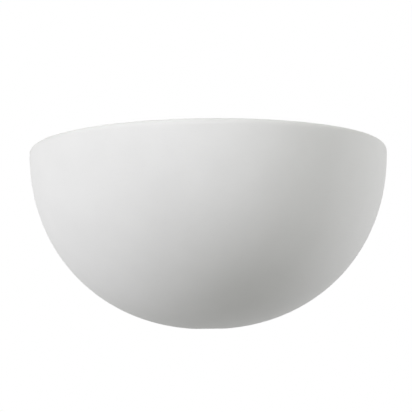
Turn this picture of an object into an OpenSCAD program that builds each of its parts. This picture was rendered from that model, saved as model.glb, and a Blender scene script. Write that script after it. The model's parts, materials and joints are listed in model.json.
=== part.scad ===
// Uplighter wall sconce: a bisque half bowl that hides a steel wall bracket and an E27 lamp.
// The wall is the plane y = 0, the room lies on the -Y side, and +Z is up.
// The origin is on the wall, midway between the bracket's two fixing slots.

/* [Bowl] */
// Width of the bowl at its widest level
bowl_w = 310; // [300:2:330]
// Height of the bowl from its widest level down to its lowest point
bowl_h = 153; // [148:1:162]
// Fullness of the outline, where 2 is an ellipse
bowl_n = 2.11; // [2.05:0.01:2.3]
// Wall thickness of the ceramic
wall_t = 8; // [7:0.5:9]
// Height of the widest level above the fixing slots
widest_z = 34; // [32:1:38]
// Height of the rim above the widest level
rim_rise = 3.4; // [2:0.2:6]
// Radius of the rim's outer edge
lip_out_r = 5.5; // [4:0.5:5.5]
// Radius of the rim's inner edge
lip_in_r = 1.5; // [1:0.5:2]
// Depth ground flat at the very bottom
foot_flat = 0.4; // [0:0.1:1]
// Width of the back flange inside the wall
flange_w = 16; // [12:1:18]
// Thickness of the back flange
flange_t = 8; // [7:0.5:9]

/* [Bracket] */
// Sheet thickness of the bracket
steel_t = 1.6; // [1.5:0.1:2]
// Height of the bracket's two wings
wing_h = 24; // [22:1:26]
// Distance between the two thumb screws
screw_span = 232; // [228:2:236]
// Distance between the two fixing slots
slot_span = 130; // [120:2:140]
// Length of a fixing slot, end to end
slot_l = 15; // [12:1:18]
// Width of a fixing slot
slot_w = 5; // [4.5:0.1:5.5]
// Width of the raised centre plate
plate_w = 84; // [80:1:90]
// Gap behind the raised plate
raise = 4; // [4:0.1:4.5]
// Tilt of the lamp away from upright
tilt = 30; // [28:1:32]
// Width of the tongue that carries the lampholder
tongue_w = 36; // [30:1:40]

/* [Fasteners] */
// Nominal diameter of the thumb screws' thread
screw_d = 4; // [4:0.5:4]
// Diameter of a thumb screw's head
head_d = 14; // [12:1:16]
// Length of a thumb screw's head
head_l = 9; // [7:1:11]

/* [Lamp] */
// Diameter of the lamp's globe
globe_d = 45; // [40:1:50]
// Outer diameter of the lampholder's skirt
skirt_d = 39; // [37:1:42]

/* [Hidden] */
$fn = 96;

// Bowl
bowl_r = bowl_w / 2;
rim_z = widest_z + rim_rise;
foot_z = widest_z - bowl_h + foot_flat;
bowl_steps = 40;
flange_drop = 8;               // from the widest level down to the top of the flange
flange_top_z = widest_z - flange_drop;
lug_r = 19;                    // outline of a lug round its screw
lug_front = 11.5;              // distance of a lug's front face from the wall
pocket_r = 14;                 // round end of the pocket that takes a bracket wing
pocket_d = 4.3;
lug_hole_d = 5.5;

// Fasteners at the lugs
fibre_r = 6;                   // washer between a screw's head and the ceramic
fibre_t = 1;
neck_r = screw_d / 2 - 0.4;    // relieved shank, thinner than the thread
nut_r = 4;                     // flange of a clinch nut, and the washer on the thread in front of it
nut_barrel_r = 3;
nut_front = 3.2;               // front face of a clinch nut
running_gap = 0.1;             // between faces that turn or slide past each other

// Bracket
screw_x = screw_span / 2;
plate_front = raise + steel_t;
plate_top = 20;
plate_bottom = -38;
plate_corner_r = 8;
bend_z = -54;
joggle_r = 1;
bend_r = 3;
bend_y = -plate_front - bend_r;
bend_turn = 90 - tilt;
tab_back = 24;                 // from the lampholder's axis back to the bend
tab_front = 20;                // from the lampholder's axis to the tongue's free end
seat_y = bend_y + bend_r * cos(bend_turn) - tab_back * cos(tilt);
seat_z = bend_z - bend_r * sin(bend_turn) - tab_back * sin(tilt);
grommet_x = -27;
grommet_z = -8;
grommet_hole_d = 14;
grommet_bore_d = 9;
grommet_lip_r = 9;
grommet_lip_t = 1.8;
earth_x = 33;
earth_z = 9;
earth_screw_r = 2;

// Terminal block
poles = 3;
pole_pitch = 11;
block_x = 3;
block_z = -8;
block_l = 20;
base_t = 3;
tower_x = 5;
tower_top = 14;
tube_y = 6.5;                  // centre of a tube above the plate
tube_r = 2.4;
tube_bore_r = 1.7;
clamp_screw_r = 1.3;           // the screws that clamp the leads in the tubes
clamp_head_at = tower_top - 3.5;
fixing_screw_r = 1.45;         // the screws that hold the block to the plate
earth_pole = 1;
live_pole = 0;
neutral_pole = -1;

// Lampholder and lamp, as heights along the lamp's axis above the tongue
nipple_r = 5;
base_r = 17;
base_wall = 2;
base_top = 22;
insert_bottom = 17;
insert_top = 27;
insert_screw_x = 8;
side_contact_x = -12;
shell_r = 14.2;
shell_t = 0.8;
shell_top = 51;
skirt_bottom = 15;
skirt_top = 52;
tip_at = 29.7;
glass_from = tip_at + 1.3;     // the insulator lies between the end contact and the cap
glass_to = tip_at + 4.8;
cap_r = 13;
cap_top = 56;
housing_top = 78;
globe_r = globe_d / 2;
globe_at = 85.2;
globe_t = 1.2;
led_board_r = 19.6;
led_board_t = 1.2;
through = 10;                  // length of a cutter that goes right through a sheet

// Leads
lead_d = 2.4;
bore_gap = 1.5;                // half the distance between two leads in the nipple
tube_axis_y = -plate_front - tube_y;
earth_lead_y = -plate_front - 2.6;

// ---- Helpers ----

function arc(centre, r, from, to, steps) =
    [for (i = [0:steps]) let (a = from + (to - from) * i / steps) centre + r * [cos(a), sin(a)]];
function reversed(list) = [for (i = [len(list) - 1:-1:0]) list[i]];

// A plate parallel to the wall: its 2D child is drawn in X and Z
module upright(back, thickness)
    translate([0, -back, 0]) rotate([90, 0, 0]) linear_extrude(thickness) children();

// A turned piece with its axis along -Y, starting at the given distance from the wall
module outward(x, back, z) translate([x, -back, z]) rotate([90, 0, 0]) children();

module both_sides() for (side = [0, 1]) mirror([side, 0, 0]) children();

// The frame of the lampholder: the tongue's top face is z = 0 and the lamp points along +Z
module on_lamp_axis() translate([0, seat_y, seat_z]) rotate([tilt, 0, 0]) children();

module ring(outer_r, inner_r, height) difference() {
    cylinder(r = outer_r, h = height);
    translate([0, 0, -1]) cylinder(r = inner_r, h = height + 2);
}

module hexagon(across_flats) circle(d = across_flats / cos(30), $fn = 6);

module nut(across_flats, bore_r, height) difference() {
    linear_extrude(height) hexagon(across_flats);
    translate([0, 0, -1]) cylinder(r = bore_r, h = height + 2);
}

// A pan-head machine screw: the head stands on z = 0 and the shank runs down
module pan_screw(head_r, head_h, shank_r, length, slot) difference() {
    union() {
        cylinder(r = head_r, h = head_h);
        translate([0, 0, -length]) cylinder(r = shank_r, h = length + 0.1);
    }
    translate([-head_r - 1, -slot / 2, head_h / 2]) cube([2 * head_r + 2, slot, head_h]);
}

// A round lead swept along a smooth curve through hand-picked points
function spline_point(a, b, c, d, t) =
    0.5 * (2 * b + (c - a) * t + (2 * a - 5 * b + 4 * c - d) * t * t + (3 * b - a - 3 * c + d) * t * t * t);
function smooth(route, steps) = let (n = len(route)) concat(
    [for (i = [0:n - 2], j = [0:steps - 1])
        spline_point(route[max(i - 1, 0)], route[i], route[i + 1], route[min(i + 2, n - 1)], j / steps)],
    [route[n - 1]]);
function unit(v) = v / norm(v);
function direction(path, i) = unit(path[min(i + 1, len(path) - 1)] - path[max(i - 1, 0)]);
function square_to(v, along) = unit(v - (v * along) * along);
function sides_of(path, first) =
    [for (i = 0, v = square_to(first, direction(path, 0)); i < len(path);
          i = i + 1, v = i < len(path) ? square_to(v, direction(path, i)) : v) v];

module lead(route, first) {
    sides = 8;
    path = smooth(route, 3);
    across = sides_of(path, first);
    rings = len(path);
    points = [for (i = [0:rings - 1], k = [0:sides - 1])
        let (u = across[i], v = cross(direction(path, i), u), a = 360 * k / sides)
            path[i] + lead_d / 2 * (cos(a) * u + sin(a) * v)];
    walls = [for (i = [0:rings - 2], k = [0:sides - 1]) let (next = (k + 1) % sides)
        each [[i * sides + next, i * sides + k, (i + 1) * sides + k],
              [i * sides + next, (i + 1) * sides + k, (i + 1) * sides + next]]];
    ends = [[for (k = [0:sides - 1]) k], [for (k = [sides - 1:-1:0]) (rings - 1) * sides + k]];
    polyhedron(points, concat(walls, ends));
}

// ---- Bowl ----

// Quarter of the bowl's outline, from its widest level down to its axis
function bowl_curve(r, h) =
    [for (i = [0:bowl_steps]) let (t = 90 * i / bowl_steps)
        [r * pow(cos(t), 2 / bowl_n), widest_z - h * pow(sin(t), 2 / bowl_n)]];

module wall_section() polygon(concat(
    arc([bowl_r - lip_out_r, rim_z - lip_out_r], lip_out_r, 90, 0, 6),
    [for (p = bowl_curve(bowl_r, bowl_h)) if (p.y < rim_z - lip_out_r) [p.x, max(p.y, foot_z)]],
    reversed(bowl_curve(bowl_r - wall_t, bowl_h - wall_t)),
    arc([bowl_r - wall_t + lip_in_r, rim_z - lip_in_r], lip_in_r, 180, 90, 3)));

module half_turn() rotate([0, 0, 180]) rotate_extrude(angle = 180) children();

// The space inside the middle of the wall, up to the top of the flange
module inner_half() half_turn() polygon(concat(
    [[0, flange_top_z]],
    [for (p = bowl_curve(bowl_r - wall_t / 2, bowl_h - wall_t / 2)) if (p.y < flange_top_z) p]));

module back_opening() {
    edge = bowl_curve(bowl_r - wall_t - flange_w, bowl_h - wall_t - flange_w);
    polygon(concat([[-edge[0].x, rim_z]], [for (i = [0:bowl_steps - 1]) [-edge[i].x, edge[i].y]],
        reversed(edge), [[edge[0].x, rim_z]]));
}

module lug_outline(r, reach) {
    translate([screw_x, 0]) circle(r = r);
    translate([screw_x, -r]) square([reach, 2 * r]);
}

module ceramic_bowl() color([0.93, 0.93, 0.91]) difference() {
    union() {
        half_turn() wall_section();
        intersection() {
            inner_half();
            union() {
                upright(0, flange_t) difference() {
                    translate([-bowl_r, foot_z]) square([bowl_w, flange_top_z - foot_z]);
                    back_opening();
                }
                both_sides() upright(0, lug_front) lug_outline(lug_r, bowl_r - screw_x);
            }
        }
    }
    both_sides() {
        upright(-1, pocket_d + 1) {
            translate([screw_x, 0]) circle(r = pocket_r);
            translate([screw_x - 2 * lug_r, -pocket_r]) square([2 * lug_r, 2 * pocket_r]);
        }
        outward(screw_x, -1, 0) cylinder(d = lug_hole_d, h = lug_front + 2);
    }
}

module fibre_washers() color([0.55, 0.2, 0.13])
    both_sides() outward(screw_x, lug_front, 0) ring(fibre_r, neck_r + 0.75, fibre_t);

module retaining_washers() color([0.9, 0.9, 0.88]) {
    back = nut_front + running_gap;
    both_sides() outward(screw_x, back, 0) ring(nut_r, neck_r + 0.25, pocket_d - back);
}

// A captive thumb screw: knurled head, relieved shank and a short thread at the wall end
module thumb_screw() color([0.78, 0.79, 0.8]) {
    knurls = 24;
    knurl_r = 0.8;
    chamfer = 1;
    coin_slot = [1.2, 1.5];        // width and depth
    head_at = lug_front + fibre_t + running_gap;
    thread_start = 0.3;
    thread_end = nut_front - running_gap;
    outward(screw_x, head_at, 0) difference() {
        union() {
            cylinder(d = head_d, h = head_l - chamfer);
            translate([0, 0, head_l - chamfer]) cylinder(d1 = head_d, d2 = head_d - 2 * chamfer, h = chamfer);
        }
        for (i = [0:knurls - 1]) rotate([0, 0, 360 * i / knurls])
            translate([head_d / 2 + 0.3, 0, 1]) cylinder(r = knurl_r, h = head_l, $fn = 24);
        translate([-head_d, -coin_slot.x / 2, head_l - coin_slot.y]) cube([2 * head_d, coin_slot.x, 2]);
    }
    outward(screw_x, thread_end, 0) cylinder(r = neck_r, h = head_at - thread_end + 0.1);
    outward(screw_x, thread_start, 0) cylinder(d = screw_d, h = thread_end - thread_start);
}

module thumb_screw_right() thumb_screw();
module thumb_screw_left() mirror([1, 0, 0]) thumb_screw();

// ---- Bracket ----

module wing() upright(0, steel_t) difference() {
    union() {
        translate([screw_x, 0]) circle(d = wing_h);
        translate([joggle_far.x + 1, -wing_h / 2]) square([screw_x - joggle_far.x - 1, wing_h]);
    }
    translate([slot_span / 2, 0]) {
        for (end = [-1, 1]) translate([end * (slot_l - slot_w) / 2, 0]) circle(d = slot_w);
        square([slot_l - slot_w, slot_w], center = true);
    }
    translate([screw_x, 0]) circle(r = nut_barrel_r);
}

// The step between a wing and the raised plate: two bends of 45 degrees, drawn from above
joggle_out_r = joggle_r + steel_t;
joggle_near = [plate_w / 2, joggle_r - raise];
joggle_far = [plate_w / 2 + raise - steel_t - 2 * joggle_r + (joggle_out_r + joggle_r) * sqrt(2),
    -steel_t - joggle_r];

module joggle() translate([0, 0, -wing_h / 2]) linear_extrude(wing_h) polygon(concat(
    [[joggle_near.x - 1, -raise]], arc(joggle_near, joggle_r, -90, -45, 4),
    arc(joggle_far, joggle_out_r, 135, 90, 4), [[joggle_far.x + 2, 0], [joggle_far.x + 2, -steel_t]],
    arc(joggle_far, joggle_r, 90, 135, 4), arc(joggle_near, joggle_out_r, -45, -90, 4),
    [[joggle_near.x - 1, -plate_front]]));

module plate_outline() {
    r = plate_corner_r;
    plate_h = plate_top - plate_bottom;
    translate([-plate_w / 2 + r, plate_bottom]) square([plate_w - 2 * r, plate_h]);
    translate([-plate_w / 2, plate_bottom + r]) square([plate_w, plate_h - 2 * r]);
    for (x = [-1, 1], z = [plate_bottom + r, plate_top - r])
        translate([x * (plate_w / 2 - r), z]) circle(r = r);
}

// A folded strip: its side profile is drawn in Y and Z, and it is centred across the width
module folded(width, outline)
    translate([-width / 2, 0, 0]) rotate([90, 0, 90]) linear_extrude(width) polygon(outline);

module tongue() {
    fold = [bend_y, bend_z];
    run = (tab_back + tab_front) * [-cos(tilt), -sin(tilt)];
    tab_start = [cos(bend_turn), -sin(bend_turn)];
    chamfer = 6;
    difference() {
        folded(tongue_w, concat(
            [[-raise, plate_bottom + 1]], arc(fold, bend_r + steel_t, 0, -bend_turn, 8),
            [fold + (bend_r + steel_t) * tab_start + run, fold + bend_r * tab_start + run],
            arc(fold, bend_r, -bend_turn, 0, 8), [[-plate_front, plate_bottom + 1]]));
        both_sides() on_lamp_axis() translate([tongue_w / 2, -tab_front, 0]) rotate([0, 0, 45])
            cube([chamfer * sqrt(2), chamfer * sqrt(2), 4 * steel_t], center = true);
    }
}

// Fold along the plate's top edge, which stiffens it
fold_w = plate_w - 3 * plate_corner_r;
fold_l = 7;
fold_z = plate_top - bend_r - steel_t;
module top_fold() folded(fold_w, concat(
    [[-plate_front, fold_z - 1]], arc([bend_y, fold_z], bend_r, 0, 90, 8),
    [[bend_y - fold_l, fold_z + bend_r], [bend_y - fold_l, plate_top]],
    arc([bend_y, fold_z], bend_r + steel_t, 90, 0, 8), [[-raise, fold_z - 1]]));

module wall_bracket() color([0.9, 0.9, 0.9]) difference() {
    union() {
        both_sides() {
            wing();
            joggle();
        }
        upright(raise, steel_t) difference() {
            plate_outline();
            translate([-fold_w / 2, fold_z]) square([fold_w, 20]);
        }
        top_fold();
        tongue();
    }
    outward(grommet_x, 0, grommet_z) cylinder(d = grommet_hole_d, h = through);
    outward(earth_x, 0, earth_z) cylinder(r = earth_screw_r + 0.1, h = through);
    at_block_fixings(0) cylinder(r = fixing_screw_r + 0.15, h = through);
    on_lamp_axis() translate([0, 0, -through / 2]) cylinder(r = nipple_r + 0.2, h = through);
}

module clinch_nuts() color([0.75, 0.76, 0.78]) both_sides() difference() {
    union() {
        outward(screw_x, steel_t, 0) cylinder(r = nut_r, h = nut_front - steel_t);
        outward(screw_x, 0, 0) cylinder(r = nut_barrel_r, h = nut_front - 0.1);
    }
    outward(screw_x, -1, 0) cylinder(r = screw_d / 2 + 0.05, h = through);
}

module cable_grommet() color([0.12, 0.12, 0.12]) {
    bore_r = grommet_bore_d / 2;
    hole_r = grommet_hole_d / 2;
    lip_r = grommet_lip_r;
    back = grommet_lip_t;
    front = back + steel_t;
    top = front + grommet_lip_t;
    outward(grommet_x, raise - grommet_lip_t, grommet_z) rotate_extrude() polygon([
        [bore_r, 0], [lip_r, 0], [lip_r, back], [hole_r, back], [hole_r, front], [lip_r, front],
        [lip_r - 0.8, top], [bore_r, top]]);
}

// ---- Terminal block and earth point ----

module at_poles() for (i = [-1:1]) translate([0, 0, i * pole_pitch]) children();
module at_towers() at_poles() for (side = [-1, 1])
    outward(block_x + side * tower_x, plate_front, block_z) children();
module at_block_fixings(back)
    for (side = [-1, 1]) outward(block_x, back, block_z + side * pole_pitch / 2) children();

module terminal_block() color([0.93, 0.92, 0.88]) difference() {
    pole_body = [block_l, 8, 8];
    pole_front = 10;
    tower_r = 3.4;
    head_way_r = 2.2;              // clear of a clamping screw's head
    fixing_way_r = 2.8;            // clear of a fixing screw's head
    union() {
        translate([block_x - block_l / 2, -plate_front - base_t, block_z - poles * pole_pitch / 2])
            cube([block_l, base_t, poles * pole_pitch]);
        at_poles() translate([block_x - block_l / 2, -plate_front - pole_front, block_z - pole_body.z / 2])
            cube(pole_body);
        at_towers() cylinder(r = tower_r, h = tower_top);
    }
    at_poles() translate([block_x - block_l, tube_axis_y, block_z]) rotate([0, 90, 0])
        cylinder(r = tube_r, h = 2 * block_l);
    at_towers() translate([0, 0, tube_y]) cylinder(r = head_way_r, h = tower_top);
    at_block_fixings(plate_front) {
        translate([0, 0, -1]) cylinder(r = fixing_screw_r + 0.15, h = tower_top);
        translate([0, 0, base_t]) cylinder(r = fixing_way_r, h = tower_top);
    }
}

module terminal_tubes() color([0.8, 0.65, 0.3]) at_poles() difference() {
    tube_l = block_l - 2;
    translate([block_x - tube_l / 2, tube_axis_y, block_z]) rotate([0, 90, 0])
        ring(tube_r, tube_bore_r, tube_l);
    for (side = [-1, 1]) outward(block_x + side * tower_x, plate_front + tube_y, block_z)
        cylinder(r = clamp_screw_r + 0.05, h = 2 * tube_r);
}

module terminal_screws() color([0.75, 0.76, 0.78]) at_towers() translate([0, 0, clamp_head_at])
    pan_screw(2, 1.6, clamp_screw_r, clamp_head_at - tube_y - lead_d / 2 - 0.1, 0.6);

module block_screws() color([0.75, 0.76, 0.78])
    at_block_fixings(plate_front + base_t) pan_screw(2.6, 1.8, fixing_screw_r, 7.6, 0.7);

module block_nuts() color([0.75, 0.76, 0.78]) {
    height = 2.4;
    at_block_fixings(raise - height) nut(5.5, fixing_screw_r + 0.05, height);
}

// The earth point: a toothed washer on the plate, the ring terminal on it and the screw's head on top
earth_washer_t = 1;
earth_ring_t = 1.2;
earth_bore_r = earth_screw_r + 0.05;

module earth_screw() color([0.8, 0.65, 0.3])
    outward(earth_x, plate_front + earth_washer_t + earth_ring_t, earth_z)
        pan_screw(3.8, 2.6, earth_screw_r, 7.2, 1);

module earth_washer() color([0.75, 0.76, 0.78]) outward(earth_x, plate_front, earth_z) difference() {
    teeth = 10;
    tooth = [1.5, 1.2, earth_washer_t];
    union() {
        cylinder(r = 3.6, h = earth_washer_t);
        for (i = [0:teeth - 1]) rotate([0, 0, 360 * i / teeth]) translate([3, -tooth.y / 2, 0]) cube(tooth);
    }
    translate([0, 0, -1]) cylinder(r = earth_bore_r, h = through);
}

// Ring terminal: the eye under the screw, a neck and a crimped barrel round the earth lead
module earth_ring() color([0.82, 0.82, 0.84]) {
    neck = [3.6, 8, earth_ring_t];
    neck_end = 10;
    barrel_r = 2;
    barrel_l = 7;
    outward(earth_x, plate_front + earth_washer_t, earth_z) difference() {
        union() {
            cylinder(r = 4.2, h = earth_ring_t);
            translate([-neck.x / 2, -neck_end, 0]) cube(neck);
        }
        translate([0, 0, -1]) cylinder(r = earth_bore_r, h = through);
    }
    translate([earth_x, earth_lead_y, earth_z - neck_end + 1]) rotate([180, 0, 0])
        ring(barrel_r, lead_d / 2 + 0.05, barrel_l);
}

module earth_nut() color([0.75, 0.76, 0.78]) {
    height = 3.2;
    outward(earth_x, raise - height, earth_z) nut(7, earth_screw_r + 0.02, height);
}

// ---- Leads ----

pole_end_x = block_x + 6;
block_side_x = block_x + block_l / 2;
function pole_z(pole) = block_z + pole * pole_pitch;
// A point at height w along the lamp's axis, side mm to the right of it and back mm behind it
function on_axis(side, back, w) =
    [side, seat_y + back * cos(tilt) - w * sin(tilt), seat_z + back * sin(tilt) + w * cos(tilt)];

live_route = [
    [pole_end_x, tube_axis_y, pole_z(live_pole)], [block_side_x, tube_axis_y, pole_z(live_pole)],
    [18.5, -12.2, -9], [23.5, -12.8, -13], [27, -13.5, -20], [29, -14, -29], [29.5, -14, -42],
    [28.8, -13.5, -56], [26.5, -13, -69], [23.8, -12.5, -80], [19.5, -12, -89.5], [12.5, -12, -95],
    [6, -12.8, -95.5], on_axis(2.3, 0, -25), on_axis(bore_gap, 0, -18), on_axis(bore_gap, 0, -11),
    on_axis(bore_gap, 0, -5), on_axis(bore_gap, 0, 1.5), on_axis(2.6, 0, 6), on_axis(5.2, 0, 9.8),
    on_axis(7.5, 0, 13)];
neutral_route = [
    [pole_end_x, tube_axis_y, pole_z(neutral_pole)], [block_side_x, tube_axis_y, pole_z(neutral_pole)],
    [18, -12.2, -20.5], [22, -12.6, -25], [24.3, -13, -32], [25, -13, -42], [24.3, -12.5, -54],
    [21, -12, -66], [17, -11.5, -76], [12, -10.8, -83.5], [6.8, -10.5, -88.5], [1.5, -12, -91],
    on_axis(-1.2, 0, -23.5), on_axis(-bore_gap, 0, -17.5), on_axis(-bore_gap, 0, -11),
    on_axis(-bore_gap, 0, -5), on_axis(-bore_gap, 0, 1.5), on_axis(-2.6, 0, 6), on_axis(-5.2, 0, 9.8),
    on_axis(-7.5, 0, 13)];
earth_route = [
    [pole_end_x, tube_axis_y, pole_z(earth_pole)], [block_side_x, tube_axis_y, pole_z(earth_pole)],
    [17, -12, 2.8], [20.4, -11.4, 0.6], [22.2, -10.2, -4], [22.6, -8.8, -9.5], [22.7, -8.3, -15],
    [24.2, -8.2, -18.6], [27.8, -8.2, -20.1], [31.5, -8.2, -18.6], [earth_x, earth_lead_y, -15],
    [earth_x, earth_lead_y, -8.5], [earth_x, earth_lead_y, -2]];

module live_lead() color([0.42, 0.22, 0.12]) lead(live_route, [0, 0, 1]);
module neutral_lead() color([0.1, 0.25, 0.6]) lead(neutral_route, [0, 0, 1]);
module earth_lead() color([0.35, 0.6, 0.15]) lead(earth_route, [0, 0, 1]);

// ---- Lampholder ----

module holder_nipple() color([0.75, 0.76, 0.78]) on_lamp_axis()
    translate([0, 0, -10]) ring(nipple_r, 3.75, 16);

module nipple_nut() color([0.75, 0.76, 0.78]) on_lamp_axis()
    translate([0, 0, -steel_t - 4]) nut(14, nipple_r + 0.05, 3);

module nipple_washer() color([0.75, 0.76, 0.78]) on_lamp_axis()
    translate([0, 0, -steel_t - 1]) ring(8.5, nipple_r + 0.1, 1);

module holder_base() color([0.95, 0.95, 0.93]) on_lamp_axis() {
    inner = base_r - base_wall;
    bore = nipple_r + 0.05;
    rotate_extrude() polygon([[bore, 0], [8, 0], [9, 1], [9, 5], [base_r, 11], [base_r, base_top],
        [inner, base_top], [inner, 12], [8, 7.2], [bore, 7.2]]);
}

module holder_insert() color([0.9, 0.9, 0.86]) on_lamp_axis() difference() {
    plug_r = base_r - base_wall - 0.2;
    shoulder = base_top + 0.1;
    well = insert_bottom - 1;
    rotate_extrude() polygon([[0, insert_bottom], [plug_r, insert_bottom], [plug_r, shoulder],
        [base_r, shoulder], [base_r, insert_top - 1], [base_r - 1, insert_top], [0, insert_top]]);
    for (side = [-1, 1]) translate([side * insert_screw_x, 0, well]) cylinder(r = 2.6, h = 7);
    translate([side_contact_x, 0, well]) cylinder(r = 1.05, h = 2 * through);
    translate([0, 0, well]) cylinder(r = 2, h = 2 * through);
}

module holder_skirt() color([0.95, 0.95, 0.93]) on_lamp_axis() difference() {
    r = skirt_d / 2;
    inner = base_r + 0.3;
    mouth = shell_r + 0.4;
    ribs = 24;
    rotate_extrude() polygon([
        [inner, skirt_bottom], [r - 1, skirt_bottom], [r, skirt_bottom + 1], [r, skirt_top - 8],
        [r - 1.2, skirt_top - 2], [r - 3, skirt_top], [mouth, skirt_top], [mouth, skirt_top - 2],
        [inner, skirt_top - 4]]);
    for (i = [0:ribs - 1]) rotate([0, 0, 360 * i / ribs])
        translate([r + 0.4, 0, skirt_bottom + 3]) cylinder(r = 1, h = 16, $fn = 24);
}

module screw_shell() color([0.8, 0.65, 0.3]) on_lamp_axis() translate([0, 0, insert_top]) {
    floor_r = 7;                   // hole in the shell's floor for the centre contact
    ring(shell_r, floor_r, 1);
    ring(shell_r, shell_r - shell_t, shell_top - insert_top);
}

// Rivet through the insert, with a strip folded over it that springs against the lamp
module centre_contact() color([0.8, 0.65, 0.3]) on_lamp_axis() {
    side = 5;
    sheet = 0.6;
    tip_gap = 0.2;
    translate([0, 0, insert_bottom]) cylinder(r = 1.9, h = insert_top - insert_bottom);
    translate([-side / 2, -side / 2, 0]) {
        translate([0, 0, insert_top]) cube([side, side, sheet]);
        translate([0, 0, insert_top]) cube([side, sheet, tip_at - insert_top - tip_gap]);
        translate([0, 0, tip_at - tip_gap - 0.5]) cube([side, side, 0.5]);
    }
}

module side_contact() color([0.8, 0.65, 0.3]) on_lamp_axis() {
    tab = [3.6, 4, 1];
    translate([-14, -tab.y / 2, insert_bottom - tab.z]) cube(tab);
    translate([side_contact_x, 0, insert_bottom - tab.z / 2])
        cylinder(r = 1, h = insert_top - insert_bottom + tab.z / 2);
}

module holder_screws() color([0.75, 0.76, 0.78]) on_lamp_axis() for (side = [-1, 1])
    translate([side * insert_screw_x, 0, insert_bottom - 1]) pan_screw(2.2, 3.4, 1.2, 2.5, 0.6);

// ---- Lamp ----

module lamp_contact() color([0.8, 0.8, 0.82]) on_lamp_axis()
    translate([0, 0, tip_at]) cylinder(r1 = 3.4, r2 = 4.6, h = glass_from - tip_at);

module lamp_insulator() color([0.1, 0.1, 0.12]) on_lamp_axis() rotate_extrude() polygon([
    [0, glass_from], [4.8, glass_from], [6.5, glass_from + 1], [11, glass_to], [0, glass_to]]);

// Rolled E27 thread, drawn as rounded ridges of the thread's pitch
module lamp_cap() color([0.82, 0.83, 0.85]) on_lamp_axis() {
    pitch = 3.6;
    ridges = 5;
    ridge_h = 1.2;
    foot_r = 10.6;
    inner_r = 11.2;
    thread_z = glass_to + 2;
    rotate_extrude() polygon(concat(
        [[foot_r, glass_to], [11.4, glass_to], [12, glass_to + 1.5]],
        [for (i = [0:ridges - 1], s = [0:5])
            [cap_r - ridge_h / 2 * (1 - sin(60 * s - 90)), thread_z + (i + s / 6) * pitch]],
        [[cap_r - ridge_h, thread_z + ridges * pitch], [cap_r - 0.4, cap_top - 0.6], [cap_r, cap_top - 0.4],
         [cap_r, cap_top], [inner_r, cap_top], [inner_r, thread_z], [foot_r, thread_z]]));
}

module lamp_housing() color([0.94, 0.94, 0.93]) on_lamp_axis() rotate_extrude() polygon([
    [11.1, cap_top - 6], [11.1, cap_top], [12.6, cap_top], [12.6, cap_top + 3], [15.4, cap_top + 9],
    [19, housing_top - 7], [globe_r - 1, housing_top], [20, housing_top], [20, housing_top - 1.3],
    [18.9, housing_top - 1.3], [17.4, housing_top - 6.6], [13.9, cap_top + 9.6], [11, cap_top + 3.6],
    [9.6, cap_top], [9.6, cap_top - 6]]);

// Narrow circuit board that stands in the cap and the housing
module driver_board() color([0.16, 0.42, 0.26]) on_lamp_axis() {
    board = [16, 1.6, housing_top - cap_top + 12];
    face = board.y / 2 - 0.1;      // the components stand a little into the board's face
    translate([-board.x / 2, -board.y / 2, cap_top - 16]) cube(board);
    translate([-3, face, cap_top - 3]) cylinder(r = 3.4, h = 11);
    translate([3.6, face, cap_top + 10]) cube([4, 4, 6]);
}

module lamp_globe() color([0.98, 0.98, 0.96]) on_lamp_axis() difference() {
    translate([0, 0, globe_at]) sphere(r = globe_r);
    translate([0, 0, globe_at]) sphere(r = globe_r - globe_t);
    translate([0, 0, housing_top - globe_d]) cylinder(r = globe_r + 1, h = globe_d);
}

module led_board() color([0.95, 0.95, 0.9]) on_lamp_axis() {
    chips = 8;
    chip = [2.8, 2.8, 0.8];
    chip_at = 9.4;
    translate([0, 0, housing_top - led_board_t]) cylinder(r = led_board_r, h = led_board_t);
    for (i = [0:chips - 1]) rotate([0, 0, 360 * i / chips])
        translate([chip_at, -chip.y / 2, housing_top - 0.1]) cube(chip);
}

ceramic_bowl();
fibre_washers();
retaining_washers();
thumb_screw_left();
thumb_screw_right();
wall_bracket();
clinch_nuts();
cable_grommet();
terminal_block();
terminal_tubes();
terminal_screws();
block_screws();
block_nuts();
earth_screw();
earth_washer();
earth_ring();
earth_nut();
live_lead();
neutral_lead();
earth_lead();
holder_nipple();
nipple_nut();
nipple_washer();
holder_base();
holder_insert();
holder_skirt();
screw_shell();
centre_contact();
side_contact();
holder_screws();
lamp_contact();
lamp_insulator();
lamp_cap();
lamp_housing();
lamp_globe();
led_board();
driver_board();
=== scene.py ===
import json
import math

import bmesh
import bpy
from mathutils import Matrix, Vector


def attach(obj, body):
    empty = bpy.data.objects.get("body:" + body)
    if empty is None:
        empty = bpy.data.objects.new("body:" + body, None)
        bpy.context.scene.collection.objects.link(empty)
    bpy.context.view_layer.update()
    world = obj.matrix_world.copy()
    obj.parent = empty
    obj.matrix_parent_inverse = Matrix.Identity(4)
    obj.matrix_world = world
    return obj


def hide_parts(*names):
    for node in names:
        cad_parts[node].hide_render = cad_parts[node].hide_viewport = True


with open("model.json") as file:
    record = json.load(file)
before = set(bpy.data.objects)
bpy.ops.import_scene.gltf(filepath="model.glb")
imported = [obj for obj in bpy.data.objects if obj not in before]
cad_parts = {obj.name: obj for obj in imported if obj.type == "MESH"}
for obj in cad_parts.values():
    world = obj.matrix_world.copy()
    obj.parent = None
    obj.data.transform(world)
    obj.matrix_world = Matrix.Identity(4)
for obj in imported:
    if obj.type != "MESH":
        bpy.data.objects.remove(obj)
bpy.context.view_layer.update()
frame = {"nodes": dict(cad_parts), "record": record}
scene = bpy.context.scene
mm = 0.001               # sizes are in millimetres where a note names no other unit
nearAxis = 0.01          # a point of an outline with a smaller radius lies on the axis
quarterTurn = math.pi / 2

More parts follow.
